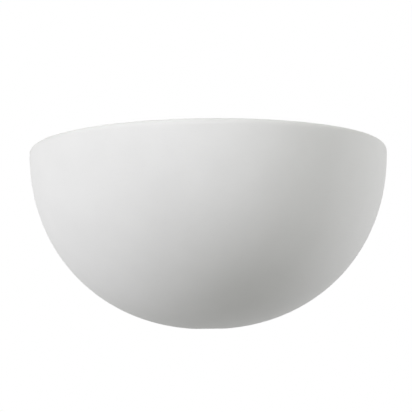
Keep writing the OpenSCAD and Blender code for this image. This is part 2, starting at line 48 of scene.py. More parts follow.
# The camera stands a little below the sconce and looks up at it, as the photograph does
cameraView = {
    "aim": (0, 0, -28),            # the point that was matched, on the wall plane
    "aimPixel": (208.9, 224.4),    # where the photograph shows it
    "distance": 1240,
    "below": 6.45,                 # degrees under the level of the aim
    "toRight": 2.3,                # degrees round from straight ahead
    "roll": -0.6,
    "focalPixels": 1426,
    "photoPixels": 412,
    "sensor": 36,
}


def makeCamera():
    v = cameraView
    low, side, roll = (math.radians(v[k]) for k in ("below", "toRight", "roll"))
    aim = Vector(v["aim"]) * mm
    away = Vector((math.sin(side) * math.cos(low), -math.cos(side) * math.cos(low), -math.sin(low)))
    right = Vector((0, 0, 1)).cross(away).normalized()
    up = away.cross(right)
    rolledRight = right * math.cos(roll) + up * math.sin(roll)
    rolledUp = up * math.cos(roll) - right * math.sin(roll)
    data = bpy.data.cameras.new("photoCamera")
    data.sensor_width = v["sensor"]
    data.lens = v["focalPixels"] / v["photoPixels"] * v["sensor"]
    centre = v["photoPixels"] / 2
    data.shift_x = (centre - v["aimPixel"][0]) / v["photoPixels"]
    data.shift_y = (v["aimPixel"][1] - centre) / v["photoPixels"]
    camera = bpy.data.objects.new("photoCamera", data)
    turn = Matrix((rolledRight, rolledUp, away)).transposed()
    camera.matrix_world = Matrix.Translation(aim + away * v["distance"] * mm) @ turn.to_4x4()
    scene.collection.objects.link(camera)
    scene.camera = camera


makeCamera()
print("camera ready")


# Helpers for node trees: a value is a plain one, or the output of another node
def plug(tree, value, socket):
    if isinstance(value, bpy.types.NodeSocket):
        tree.links.new(value, socket)
    else:
        socket.default_value = value


def addNode(tree, kind, settings=None, inputs=None):
    node = tree.nodes.new(kind)
    for name, value in (settings or {}).items():
        setattr(node, name, value)
    for name, value in (inputs or {}).items():
        plug(tree, value, node.inputs[name])
    return node


def calc(tree, operation, *terms):
    node = addNode(tree, "ShaderNodeMath", {"operation": operation})
    for socket, term in zip(node.inputs, terms):
        plug(tree, term, socket)
    return node.outputs[0]


def between(tree, share, low, high):
    lowPart = calc(tree, "MULTIPLY", calc(tree, "SUBTRACT", 1.0, share), low)
    return calc(tree, "ADD", lowPart, calc(tree, "MULTIPLY", share, high))


def remap(tree, value, low, high, toLow=0.0, toHigh=1.0, blend="LINEAR"):
    node = addNode(tree, "ShaderNodeMapRange", {"interpolation_type": blend}, {
        "Value": value, "From Min": low, "From Max": high, "To Min": toLow, "To Max": toHigh})
    return node.outputs[0]


socketKinds = {int: "Int", float: "Float", 3: "Vector", 4: "Color"}


# An input is given by its first value, or by the name of its kind where it has none
def newTree(name, kind, inputs, outputs):
    tree = bpy.data.node_groups.new(name, kind)
    for label, value in inputs.items():
        kindOnly = isinstance(value, str)
        what = value if kindOnly else socketKinds[len(value) if isinstance(value, tuple) else type(value)]
        socket = tree.interface.new_socket(label, in_out="INPUT", socket_type="NodeSocket" + what)
        if not kindOnly:
            socket.default_value = value
    for label, what in outputs.items():
        tree.interface.new_socket(label, in_out="OUTPUT", socket_type="NodeSocket" + what)
    return tree, tree.nodes.new("NodeGroupInput").outputs, tree.nodes.new("NodeGroupOutput").inputs


# A geometry tree that takes a mesh, sizes and a finish
def newShapeTree(name, sizes):
    return newTree(name, "GeometryNodeTree", {"Geometry": "Geometry", **sizes, "Material": "Material"},
                   {"Geometry": "Geometry"})


def finishTree(tree, geometry, material, out):
    real = addNode(tree, "GeometryNodeRealizeInstances", inputs={"Geometry": geometry})
    coloured = addNode(tree, "GeometryNodeSetMaterial", inputs={
        "Geometry": real.outputs[0], "Material": material})
    tree.links.new(coloured.outputs[0], out["Geometry"])


# Helpers for meshes and pieces
def applyModifiers(piece):
    depsgraph = bpy.context.evaluated_depsgraph_get()
    made = bpy.data.meshes.new_from_object(piece.evaluated_get(depsgraph))
    piece.modifiers.clear()
    piece.data = made


def runTree(piece, tree, values):
    modifier = piece.modifiers.new(tree.name, "NODES")
    modifier.node_group = tree
    for item in tree.interface.items_tree:
        if item.item_type == "SOCKET" and item.in_out == "INPUT" and item.name in values:
            modifier[item.identifier] = values[item.name]
    applyModifiers(piece)


def newPiece(name, mesh):
    piece = bpy.data.objects.new(name, mesh)
    scene.collection.objects.link(piece)
    return piece


def meshFrom(name, points, faces=(), edges=()):
    mesh = bpy.data.meshes.new(name)
    mesh.from_pydata([[c * mm for c in p] for p in points], edges, faces)
    return mesh


def editMesh(mesh, change):
    work = bmesh.new()
    work.from_mesh(mesh)
    change(work)
    work.to_mesh(mesh)
    work.free()


def tidyMesh(mesh, sharpAngle=38, merge=0.004):
    def change(work):
        bmesh.ops.remove_doubles(work, verts=work.verts, dist=merge * mm)
        loose = [e for e in work.edges if not e.link_faces]
        bmesh.ops.delete(work, geom=loose, context="EDGES")
        bmesh.ops.recalc_face_normals(work, faces=work.faces)
        for face in work.faces:
            face.smooth = True
        for edge in work.edges:
            edge.smooth = len(edge.link_faces) == 2 and edge.calc_face_angle(0) < math.radians(sharpAngle)
    editMesh(mesh, change)


def joined(name, pieces):
    work = bmesh.new()
    for piece in pieces:
        work.from_mesh(piece.data)
    mesh = bpy.data.meshes.new(name)
    work.to_mesh(mesh)
    work.free()
    for piece in pieces:
        bpy.data.objects.remove(piece)
    return newPiece(name, mesh)


def setMaterial(piece, material):
    piece.data.materials.clear()
    piece.data.materials.append(material)


def bodyOf(node):
    return next(b for b, members in frame["record"]["behaviour"]["bodies"].items() if node in members)


def slotOf(node):
    return next(s["material_slot"] for s in frame["record"]["subparts"] if s["node"] == node)


# The piece takes the place of a node: it rides on the node's body and has its finish
def settle(piece, node):
    if not piece.data.materials:
        setMaterial(piece, materials[slotOf(node)])
    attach(piece, bodyOf(node))
    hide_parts(node)


def settleJoined(name, pieces, node, sharpAngle=38):
    piece = joined(name, pieces)
    tidyMesh(piece.data, sharpAngle)
    settle(piece, node)
    return piece


# Each corner of an outline in radius and height becomes a short curve, unless it is on the axis
def softCorners(points, cut, steps=4):
    mostOfSide = 0.45
    made = []
    for i, p in enumerate(points):
        before, after = Vector(points[i - 1]), Vector(points[(i + 1) % len(points)])
        here = Vector(p)
        if p[0] < nearAxis:
            made.append(tuple(here))
            continue
        reach = min(cut, (before - here).length * mostOfSide, (after - here).length * mostOfSide)
        start = here + (before - here).normalized() * reach
        end = here + (after - here).normalized() * reach
        for s in range(steps + 1):
            t = s / steps
            made.append(tuple(start * (1 - t) ** 2 + here * 2 * t * (1 - t) + end * t ** 2))
    return made


# An outline with more points on its long sides, or only on those that climb
def dense(outline, longest, climbsOnly=False):
    made = []
    for a, b in zip(outline, outline[1:] + outline[:1]):
        far = abs(b[1] - a[1]) if climbsOnly else math.hypot(b[0] - a[0], b[1] - a[1])
        onAxis = a[0] < nearAxis and b[0] < nearAxis
        cuts = 1 if onAxis else max(1, math.ceil(far / longest))
        made += [(a[0] + (b[0] - a[0]) * i / cuts, a[1] + (b[1] - a[1]) * i / cuts) for i in range(cuts)]
    return made


def raised(outline, level):
    return [(x, level + z) for x, z in outline]


def arcPoints(centre, radius, start, end, steps):
    turns = [math.radians(start + (end - start) * i / steps) for i in range(steps + 1)]
    return [(centre[0] + radius * math.cos(a), centre[1] + radius * math.sin(a)) for a in turns]


# A grid, and the column and row of each of its points. Sizes inside the trees are in metres.
def newGrid(tree, columns, rows):
    grid = addNode(tree, "GeometryNodeMeshGrid", inputs={"Vertices X": columns, "Vertices Y": rows})
    index = addNode(tree, "GeometryNodeInputIndex").outputs[0]
    return grid, calc(tree, "FLOOR", calc(tree, "DIVIDE", index, rows)), calc(tree, "MODULO", index, rows)


# The points of a grid swung round Z at their radius, height and angle, and closed where they meet
def swungRound(tree, grid, radius, height, angle, meet, given, out):
    point = addNode(tree, "ShaderNodeCombineXYZ", inputs={"X": radius, "Z": height}).outputs[0]
    swung = addNode(tree, "ShaderNodeVectorRotate", {"rotation_type": "Z_AXIS"}, {
        "Vector": point, "Angle": angle})
    moved = addNode(tree, "GeometryNodeSetPosition", inputs={
        "Geometry": grid.outputs["Mesh"], "Position": swung.outputs[0]})
    merged = addNode(tree, "GeometryNodeMergeByDistance", inputs={
        "Geometry": moved.outputs[0], "Distance": meet * mm})
    finishTree(tree, merged.outputs[0], given["Material"], out)


# An outline turned about Z, with flutes where they are asked for
def turnTree():
    tree, given, out = newShapeTree("turnedBody", {
        "Profile Points": 60, "Turn Steps": 96, "Turn": 2 * math.pi,
        "Flute Count": 0.0, "Flute Depth": 0.0, "Flute Edge": 0.4, "Flute Beyond": 0.0,
        "Flute From": 0.0, "Flute To": 1.0, "Flute Fade": 0.001})
    grid, column, row = newGrid(tree, calc(tree, "ADD", given["Profile Points"], 1),
                                calc(tree, "ADD", given["Turn Steps"], 1))
    place = addNode(tree, "GeometryNodeSampleIndex", {"data_type": "FLOAT_VECTOR", "domain": "POINT"}, {
        "Geometry": given["Geometry"],
        "Value": addNode(tree, "GeometryNodeInputPosition").outputs[0],
        "Index": calc(tree, "MODULO", column, given["Profile Points"])})
    parts = addNode(tree, "ShaderNodeSeparateXYZ", inputs={"Vector": place.outputs[0]}).outputs
    radius, height = parts["X"], parts["Z"]
    angle = calc(tree, "MULTIPLY", calc(tree, "DIVIDE", row, given["Turn Steps"]), given["Turn"])
    wave = calc(tree, "COSINE", calc(tree, "MULTIPLY", angle, given["Flute Count"]))
    groove = remap(tree, wave, given["Flute Edge"], 1.0)
    ends = [remap(tree, calc(tree, "SUBTRACT", upper, lower), 0.0, given["Flute Fade"], blend="SMOOTHSTEP")
            for upper, lower in ((height, given["Flute From"]), (given["Flute To"], height))]
    outside = calc(tree, "GREATER_THAN", radius, given["Flute Beyond"])
    amount = calc(tree, "MULTIPLY", calc(tree, "MULTIPLY", *ends), calc(tree, "MULTIPLY", groove, outside))
    cut = calc(tree, "SUBTRACT", radius, calc(tree, "MULTIPLY", amount, given["Flute Depth"]))
    swungRound(tree, grid, cut, height, calc(tree, "ADD", angle, math.pi), 0.003, given, out)
    return tree


# A tube or rod whose wall follows a right-handed thread, along Z
def threadTree():
    tree, given, out = newShapeTree("threadedSleeve", {
        "Radius": 0.002, "Depth": 0.0004, "Bore": 0.0, "Bore Depth": 0.0, "Pitch": 0.0007, "Bottom": 0.0,
        "Top": 0.01, "Fade": 0.0005, "Rounded": 0.0, "Rows": 40, "Around": 48})
    loop = calc(tree, "MULTIPLY_ADD", given["Rows"], 2.0, 2.0)         # up the outside, down the bore
    grid, column, stop = newGrid(tree, calc(tree, "ADD", loop, 1), calc(tree, "ADD", given["Around"], 1))
    row = calc(tree, "MODULO", column, loop)
    share = calc(tree, "DIVIDE", stop, given["Around"])
    inner = calc(tree, "GREATER_THAN", row, calc(tree, "ADD", given["Rows"], 0.5))
    back = calc(tree, "SUBTRACT", calc(tree, "SUBTRACT", loop, 1), row)
    level = between(tree, inner, row, back)
    length = calc(tree, "SUBTRACT", given["Top"], given["Bottom"])
    up = calc(tree, "MULTIPLY", calc(tree, "DIVIDE", level, given["Rows"]), length)
    height = calc(tree, "ADD", given["Bottom"], up)
    phase = calc(tree, "FRACT", calc(tree, "SUBTRACT", calc(tree, "DIVIDE", height, given["Pitch"]), share))
    ramp = calc(tree, "ABSOLUTE", calc(tree, "MULTIPLY_ADD", phase, 2.0, -1.0))
    cutThread = remap(tree, ramp, 0.1, 0.9)             # flat for a tenth at root and crest
    rolledThread = remap(tree, ramp, 0.0, 1.0, blend="SMOOTHSTEP")
    wave = between(tree, given["Rounded"], cutThread, rolledThread)
    rise = remap(tree, up, 0.0, given["Fade"])
    fall = remap(tree, calc(tree, "SUBTRACT", length, up), 0.0, given["Fade"])
    crest = calc(tree, "MULTIPLY", wave, calc(tree, "MULTIPLY", rise, fall))
    root = calc(tree, "SUBTRACT", given["Radius"], given["Depth"])
    outerRadius = calc(tree, "ADD", root, calc(tree, "MULTIPLY", crest, given["Depth"]))
    innerRadius = calc(tree, "ADD", given["Bore"], calc(tree, "MULTIPLY", crest, given["Bore Depth"]))
    radius = between(tree, inner, outerRadius, innerRadius)
    swungRound(tree, grid, radius, height, calc(tree, "MULTIPLY", share, 2 * math.pi), 0.002, given, out)
    return tree


# Copies of a piece set evenly round the Z axis
def ringTree():
    tree, given, out = newShapeTree("setRound", {"Count": 8})
    spots = addNode(tree, "GeometryNodePoints", inputs={"Count": given["Count"], "Position": (0, 0, 0)})
    index = addNode(tree, "GeometryNodeInputIndex").outputs[0]
    angle = calc(tree, "MULTIPLY", calc(tree, "DIVIDE", index, given["Count"]), 2 * math.pi)
    turn = addNode(tree, "ShaderNodeCombineXYZ", inputs={"Z": angle}).outputs[0]
    placed = addNode(tree, "GeometryNodeInstanceOnPoints", inputs={
        "Points": spots.outputs[0], "Instance": given["Geometry"], "Rotation": turn})
    finishTree(tree, placed.outputs[0], given["Material"], out)
    return tree


# An insulated lead along a smooth curve through the points of its route
def leadTree():
    tree, given, out = newShapeTree("sleevedLead", {"Diameter": 0.0024, "Ring Gap": 0.0008, "Sides": 20})
    path = addNode(tree, "GeometryNodeMeshToCurve", inputs={"Mesh": given["Geometry"]})
    smooth = addNode(tree, "GeometryNodeCurveSplineType", {"spline_type": "CATMULL_ROM"}, {
        "Curve": path.outputs[0]})
    fine = addNode(tree, "GeometryNodeSetSplineResolution", inputs={
        "Geometry": smooth.outputs[0], "Resolution": 16})
    even = addNode(tree, "GeometryNodeResampleCurve", {"mode": "LENGTH"}, {
        "Curve": fine.outputs[0], "Length": given["Ring Gap"]})
    section = addNode(tree, "GeometryNodeCurvePrimitiveCircle", inputs={
        "Resolution": given["Sides"], "Radius": calc(tree, "DIVIDE", given["Diameter"], 2.0)})
    onSection = addNode(tree, "GeometryNodeSplineParameter").outputs["Factor"]
    bands = calc(tree, "COSINE", calc(tree, "MULTIPLY", onSection, 4 * math.pi))
    marked = addNode(tree, "GeometryNodeStoreNamedAttribute", {"data_type": "FLOAT", "domain": "POINT"}, {
        "Geometry": section.outputs[0], "Name": "stripe", "Value": bands})
    tube = addNode(tree, "GeometryNodeCurveToMesh", inputs={
        "Curve": even.outputs[0], "Profile Curve": marked.outputs[0], "Fill Caps": True})
    finishTree(tree, tube.outputs[0], given["Material"], out)
    return tree


turnedBody = turnTree()
threadedSleeve = threadTree()
setRound = ringTree()
sleevedLead = leadTree()


def turned(name, outline, material, steps=96, place=Matrix.Identity(4), sharpAngle=38, more=None):
    piece = newPiece(name, meshFrom(name, [(x, 0, z) for x, z in outline]))
    values = {"Profile Points": len(outline), "Turn Steps": steps, "Material": material, **(more or {})}
    runTree(piece, turnedBody, values)
    tidyMesh(piece.data, sharpAngle, merge=0.002)
    piece.data.transform(place)
    return piece


def flutes(count, depth, edge, beyond, low, high, fade):
    sizes = {"Depth": depth, "Beyond": beyond, "From": low, "To": high, "Fade": fade}
    return {"Flute Count": float(count), "Flute Edge": edge,
            **{"Flute " + label: size * mm for label, size in sizes.items()}}


def threaded(name, material, place, radius, depth, pitch, bottom, top, fade, around, perTurn, bore=0,
             boreDepth=0, rounded=0.0):
    piece = newPiece(name, meshFrom(name, [(0, 0, 0)]))
    sizes = {"Radius": radius, "Depth": depth, "Bore": bore, "Bore Depth": boreDepth, "Pitch": pitch,
             "Bottom": bottom, "Top": top, "Fade": fade}
    runTree(piece, threadedSleeve, {
        **{label: size * mm for label, size in sizes.items()}, "Rounded": rounded,
        "Rows": int((top - bottom) / pitch * perTurn), "Around": around, "Material": material})
    tidyMesh(piece.data, 50, merge=0.001)
    piece.data.transform(place)
    return piece


# Shader groups that several finishes share
def objectPlace(tree):
    return addNode(tree, "ShaderNodeTexCoord").outputs["Object"]


def scaledColor(tree, color, gain):
    return addNode(tree, "ShaderNodeVectorMath", {"operation": "SCALE"}, {
        "Vector": color, "Scale": gain}).outputs["Vector"]


def grainGroup():
    tree, given, out = newTree("fineGrain", "ShaderNodeTree", {"Scale": 900.0, "Pits": 0.35},
                               {"Height": "Float", "Pit Mask": "Float"})
    place = objectPlace(tree)
    noise = addNode(tree, "ShaderNodeTexNoise", inputs={
        "Vector": place, "Scale": given["Scale"], "Detail": 4.0, "Roughness": 0.6})
    cells = addNode(tree, "ShaderNodeTexVoronoi", inputs={
        "Vector": place, "Scale": calc(tree, "MULTIPLY", given["Scale"], 0.4)})
    aroundPit = remap(tree, cells.outputs["Distance"], 0.04, 0.16)
    height = calc(tree, "MULTIPLY_ADD", aroundPit, given["Pits"], noise.outputs["Fac"])
    tree.links.new(height, out["Height"])
    tree.links.new(aroundPit, out["Pit Mask"])
    return tree


def driftGroup():
    tree, given, out = newTree("toneDrift", "ShaderNodeTree", {
        "Color": (0.8, 0.8, 0.8, 1), "Amount": 0.03, "Scale": 20.0}, {"Color": "Color", "Mask": "Float"})
    noise = addNode(tree, "ShaderNodeTexNoise", inputs={
        "Vector": objectPlace(tree), "Scale": given["Scale"], "Detail": 3.0, "Roughness": 0.5})
    shift = calc(tree, "SUBTRACT", noise.outputs["Fac"], 0.5)
    gain = calc(tree, "MULTIPLY_ADD", shift, given["Amount"], 1.0)
    tree.links.new(scaledColor(tree, given["Color"], gain), out["Color"])
    tree.links.new(noise.outputs["Fac"], out["Mask"])
    return tree


# Convex edges given a gain in tone, as edge wear and a painted edge highlight, and hollows darkened as
# painted shade, from the shape of the mesh
def wearAndShadeGroup():
    tree, given, out = newTree("edgeWearHollowShade", "ShaderNodeTree", {
        "Color": (0.8, 0.8, 0.8, 1), "Edge Gain": 1.2, "Hollow Shade Gain": 0.6},
        {"Color": "Color", "Hollow": "Float"})
    bent = addNode(tree, "ShaderNodeNewGeometry").outputs["Pointiness"]
    edge = remap(tree, bent, 0.52, 0.6)
    hollow = remap(tree, bent, 0.48, 0.4)
    # The edge gain is edge wear and a painted edge highlight; the hollow gain is painted shade
    gain = calc(tree, "MULTIPLY", remap(tree, edge, 0.0, 1.0, 1.0, given["Edge Gain"]),
                remap(tree, hollow, 0.0, 1.0, 1.0, given["Hollow Shade Gain"]))
    tree.links.new(scaledColor(tree, given["Color"], gain), out["Color"])
    tree.links.new(hollow, out["Hollow"])
    return tree


# Fine scratches left by machining, plating barrels and handling
def scratchGroup():
    tree, given, out = newTree("fineScratches", "ShaderNodeTree", {
        "Scale": 400.0, "Stretch": (1, 1, 12)}, {"Height": "Float"})
    stretched = addNode(tree, "ShaderNodeVectorMath", {"operation": "MULTIPLY"}, {
        0: objectPlace(tree), 1: given["Stretch"]})
    noise = addNode(tree, "ShaderNodeTexNoise", inputs={
        "Vector": stretched.outputs[0], "Scale": given["Scale"], "Detail": 5.0, "Roughness": 0.7})
    tree.links.new(noise.outputs["Fac"], out["Height"])
    return tree


fineGrain = grainGroup()
toneDrift = driftGroup()
edgeWearHollowShade = wearAndShadeGroup()
fineScratches = scratchGroup()


def useGroup(tree, group, inputs):
    return addNode(tree, "ShaderNodeGroup", {"node_tree": group}, inputs).outputs


def startMaterial(name, metallic=0.0, specular=0.5, coat=0.0):
    material = bpy.data.materials.new(name)
    material.use_nodes = True
    shader = material.node_tree.nodes["Principled BSDF"]
    for socket, value in (("Metallic", metallic), ("Specular IOR Level", specular),
                          ("Coat Weight", coat), ("Coat Roughness", 0.1)):
        shader.inputs[socket].default_value = value
    return material, material.node_tree, shader


def dress(tree, shader, color, roughness, drift, driftScale, spread, wearAndShade=None):
    tone = useGroup(tree, toneDrift, {"Color": (*color, 1), "Amount": drift, "Scale": driftScale})
    shade = tone["Color"]
    rough = remap(tree, tone["Mask"], 0.25, 0.75, roughness - spread, roughness + spread)
    if wearAndShade:
        # Edges get edge wear and a painted edge highlight, hollows get painted shade, in the base colour
        edgeGain, hollowShadeGain = wearAndShade
        wornAndShaded = useGroup(tree, edgeWearHollowShade, {"Color": shade, "Edge Gain": edgeGain, "Hollow Shade Gain": hollowShadeGain})
        shade = wornAndShaded["Color"]
        rough = calc(tree, "MULTIPLY_ADD", wornAndShaded["Hollow"], 0.25, rough)
    tree.links.new(shade, shader.inputs["Base Color"])
    tree.links.new(rough, shader.inputs["Roughness"])


def addBump(tree, shader, height, depth):
    bump = addNode(tree, "ShaderNodeBump", inputs={
        "Height": height, "Strength": 1.0, "Distance": depth * mm})
    tree.links.new(bump.outputs["Normal"], shader.inputs["Normal"])


def matt(name, color, roughness, grain=0.01, grainScale=900.0, pits=0.0, drift=0.03, driftScale=20.0,
         spread=0.04, wearAndShade=None, coat=0.0):
    material, tree, shader = startMaterial(name, coat=coat)
    dress(tree, shader, color, roughness, drift, driftScale, spread, wearAndShade)
    texture = useGroup(tree, fineGrain, {"Scale": grainScale, "Pits": pits})
    addBump(tree, shader, texture["Height"], grain)
    return material


def metal(name, color, roughness, scratch=0.004, scale=500.0, stretch=(1, 1, 10), drift=0.12,
          driftScale=150.0, spread=0.06, wearAndShade=(1.25, 0.55)):
    material, tree, shader = startMaterial(name, metallic=1.0)
    dress(tree, shader, color, roughness, drift, driftScale, spread, wearAndShade)
    texture = useGroup(tree, fineScratches, {"Scale": scale, "Stretch": stretch})
    addBump(tree, shader, texture["Height"], scratch)
    return material


bisque = {
    "color": (0.82, 0.822, 0.81),
    "specular": 0.25,
    "cloud": 0.04, "cloudScale": 16,         # slow change of tone across the bowl
    "mottle": 0.05, "mottleScale": 34,       # patches left by the sponge
    "wipeScale": 60, "wipeStretch": (1, 1, 7), "wipeHeight": 3.0,
    # The pore tone darkens the centres of the pits, as painted shade
    "poreScale": 1300.0, "pores": 0.5, "poreShadeTone": 0.93,
    "roughness": 0.86, "roughnessSpread": 0.05,
    "relief": 0.03,
}


# Unglazed white bisque: chalky, with open pores darkened as painted shade, and a faint cloudiness from the
# mould
def makeBisque():
    look = bisque
    material, tree, shader = startMaterial("bisque", specular=look["specular"])
    cloud = useGroup(tree, toneDrift, {
        "Color": (*look["color"], 1), "Amount": look["cloud"], "Scale": look["cloudScale"]})
    tone = useGroup(tree, toneDrift, {
        "Color": cloud["Color"], "Amount": look["mottle"], "Scale": look["mottleScale"]})
    wipe = useGroup(tree, fineScratches, {"Scale": look["wipeScale"], "Stretch": look["wipeStretch"]})
    texture = useGroup(tree, fineGrain, {"Scale": look["poreScale"], "Pits": look["pores"]})
    # Pits darkened as painted shade in the base colour
    poreShade = remap(tree, texture["Pit Mask"], 0.0, 1.0, look["poreShadeTone"], 1.0)
    tree.links.new(scaledColor(tree, tone["Color"], poreShade), shader.inputs["Base Color"])
    rough = remap(tree, tone["Mask"], 0.3, 0.7, look["roughness"] - look["roughnessSpread"],
                  look["roughness"] + look["roughnessSpread"])
    tree.links.new(rough, shader.inputs["Roughness"])
    height = calc(tree, "MULTIPLY_ADD", wipe["Height"], look["wipeHeight"], texture["Height"])
    addBump(tree, shader, height, look["relief"])
    return material


earthSleeve = {
    "green": (0.04, 0.27, 0.05, 1),
    "yellow": (0.78, 0.62, 0.03, 1),
    "blur": 0.06,
    "roughness": (0.34, 0.44),
    "coat": 0.1,
}


# The stripes follow the lead, by the mark stored round its section
def makeEarthSleeve():
    look = earthSleeve
    material, tree, shader = startMaterial("earth_sleeve", coat=look["coat"])
    mark = addNode(tree, "ShaderNodeAttribute", {"attribute_name": "stripe"}).outputs["Fac"]
    mixed = addNode(tree, "ShaderNodeMix", {"data_type": "RGBA"}, {
        "Factor": remap(tree, mark, -look["blur"], look["blur"]), 6: look["yellow"], 7: look["green"]})
    tree.links.new(mixed.outputs[2], shader.inputs["Base Color"])
    texture = useGroup(tree, fineGrain, {"Scale": 900.0, "Pits": 0.0})
    rough = remap(tree, texture["Height"], 0.3, 0.7, *look["roughness"])
    tree.links.new(rough, shader.inputs["Roughness"])
    return material


# The wear pair gives the gain in tone of edges, as edge wear and a painted edge highlight, and of hollows, as
# painted shade
materials = {
    "bisque": makeBisque(),
    "powder_coat": matt("powder_coat", (0.8, 0.8, 0.79), 0.42, grain=0.05, grainScale=420, drift=0.03,
                        driftScale=40, wearAndShade=(0.93, 0.9)),
    "zinc": metal("zinc", (0.6, 0.63, 0.67), 0.3),
    "nickel": metal("nickel", (0.67, 0.65, 0.61), 0.24),
    "brass": metal("brass", (0.74, 0.53, 0.22), 0.28),
    "tinned_copper": metal("tinned_copper", (0.66, 0.65, 0.63), 0.36, scratch=0.01, scale=300,
                           stretch=(1, 1, 1)),
    "cap_metal": metal("cap_metal", (0.68, 0.69, 0.7), 0.26),
    "grommet_rubber": matt("grommet_rubber", (0.022, 0.022, 0.023), 0.62, grain=0.02, drift=0.25,
                           driftScale=120, wearAndShade=(1.5, 0.8)),
    "block_plastic": matt("block_plastic", (0.76, 0.75, 0.68), 0.4, drift=0.03, driftScale=80,
                          wearAndShade=(1.03, 0.85)),
    "nylon": matt("nylon", (0.78, 0.78, 0.73), 0.42, wearAndShade=(1.02, 0.9)),
    "red_fibre": matt("red_fibre", (0.3, 0.06, 0.03), 0.72, grain=0.03, grainScale=1500, drift=0.3,
                      driftScale=700, wearAndShade=(1.25, 0.8)),
    "brown_sleeve": matt("brown_sleeve", (0.1, 0.036, 0.016), 0.36, grain=0.003, drift=0.12,
                         driftScale=150, coat=0.1),
    "blue_sleeve": matt("blue_sleeve", (0.014, 0.09, 0.42), 0.36, grain=0.003, drift=0.12,
                        driftScale=150, coat=0.1),
    "earth_sleeve": makeEarthSleeve(),
    "holder_white": matt("holder_white", (0.78, 0.78, 0.755), 0.3, grain=0.004, drift=0.02,
                         driftScale=60, wearAndShade=(1.02, 0.88), coat=0.15),
    "steatite": matt("steatite", (0.72, 0.69, 0.61), 0.55, grain=0.015, grainScale=1400, pits=0.3,
                     drift=0.06, driftScale=200, wearAndShade=(1.05, 0.85)),
    "black_insulator": matt("black_insulator", (0.012, 0.012, 0.016), 0.12, grain=0.002, drift=0.2,
                            driftScale=200, coat=0.6),
    "lamp_plastic": matt("lamp_plastic", (0.82, 0.82, 0.81), 0.4, grain=0.006, grainScale=1600,
                         drift=0.02, wearAndShade=(1.02, 0.92)),
    "opal_plastic": matt("opal_plastic", (0.86, 0.86, 0.85), 0.34, grain=0.002, grainScale=1600,
                         drift=0.012),
    "led_board": matt("led_board", (0.8, 0.8, 0.77), 0.38, drift=0.04, driftScale=120,
                      wearAndShade=(1.03, 0.85)),
    "circuit_board": matt("circuit_board", (0.02, 0.16, 0.06), 0.34, drift=0.15, driftScale=260,
                          coat=0.3),
    "copper_wire": metal("copper_wire", (0.82, 0.42, 0.26), 0.3, stretch=(10, 1, 1)),
    "phosphor": matt("phosphor", (0.8, 0.66, 0.16), 0.5, drift=0.05, driftScale=300),
    "solder": metal("solder", (0.6, 0.6, 0.6), 0.4, scratch=0.02, scale=200, stretch=(1, 1, 1)),
}
for name, node in frame["nodes"].items():
    setMaterial(node, materials[slotOf(name)])
print("materials ready")

bowl = {
    "width": 310,
    "fall": 153,                 # from the widest level down
    "fullness": 2.11,            # power of the curve: 2 is an ellipse
    "wall": 8,
    "widestLevel": 34,
    "rimRise": 3.4,
    "lipOut": 5.5,
    "lipIn": 1.5,
    "lipSteps": 12,
    "lipGap": 0.6,               # between the lip's arc and the first point of the curve
    "foot": 0.4,
    "curveSteps": 72,
    "edgeSteps": 60,             # along the flange and its fillet
    "turnSteps": 160,
    "flangeWidth": 16,
    "flangeDepth": 8,
    "flangeTop": 26,
    "fillet": 4,                 # between the flange and the wall
    "filletSunk": 2,
    "lugAt": 116,
    "lugRadius": 19,
    "lugDepth": 11.5,
    "lugSteps": 32,
    "pocketRadius": 14,
    "pocketDepth": 4.3,
    "pocketReach": 40,           # runs out through the lug's inner side
    "holeRadius": 3.1,           # softening closes it a little
    "voxel": 0.8,
    "soften": 14,
    "backAllowance": 0.4,        # trimmed flush with the wall plane after softening
    "sunk": 0.02,                # behind the wall's own back face, where the two overlap
    "buried": 0.6,               # deeper in the wall
}


def bowlCurve(inset, steps):
    b = bowl
    turns = [quarterTurn * i / steps for i in range(steps + 1)]
    return [((b["width"] / 2 - inset) * max(math.cos(t), 0) ** (2 / b["fullness"]),
             b["widestLevel"] - (b["fall"] - inset) * math.sin(t) ** (2 / b["fullness"])) for t in turns]


def bowlRadius(inset, z):
    b = bowl
    share = min(max(b["widestLevel"] - z, 0) / (b["fall"] - inset), 1)
    return (b["width"] / 2 - inset) * (1 - share ** b["fullness"]) ** (1 / b["fullness"])


def wallOutline():
    b = bowl
    rim = b["widestLevel"] + b["rimRise"]
    side = b["width"] / 2
    foot = b["widestLevel"] - b["fall"] + b["foot"]
    underLip = rim - b["lipOut"] - b["lipGap"]
    outer = [(x, max(z, foot)) for x, z in bowlCurve(0, b["curveSteps"]) if z < underLip]
    lipOuter = arcPoints((side - b["lipOut"], rim - b["lipOut"]), b["lipOut"], 90, 0, b["lipSteps"])
    lipInner = arcPoints((side - b["wall"] + b["lipIn"], rim - b["lipIn"]), b["lipIn"], 180, 90,
                         b["lipSteps"] // 2)
    return lipOuter + outer + bowlCurve(b["wall"], b["curveSteps"])[::-1] + lipInner


def makeShell():
    shell = turned("bowlShell", wallOutline(), materials["bisque"], steps=bowl["turnSteps"],
                   more={"Turn": math.pi})

    def closeBack(work):
        bmesh.ops.holes_fill(work, edges=[e for e in work.edges if e.is_boundary], sides=0)
    editMesh(shell.data, closeBack)
    tidyMesh(shell.data)
    return shell


# A flat outline in X and Z, pushed out from the wall between two depths
def prism(name, outline, near, far):
    points = [(x, -near, z) for x, z in outline]
    piece = newPiece(name, meshFrom(name, points, [tuple(range(len(points)))]))

    def thicken(work):
        bmesh.ops.triangulate(work, faces=work.faces)
        made = bmesh.ops.extrude_face_region(work, geom=work.faces[:])
        bmesh.ops.translate(work, vec=(0, -(far - near) * mm, 0),
                            verts=[v for v in made["geom"] if isinstance(v, bmesh.types.BMVert)])
        bmesh.ops.recalc_face_normals(work, faces=work.faces)
    editMesh(piece.data, thicken)
    return piece


def mirrored(outline):
    return [(-x, z) for x, z in reversed(outline)]


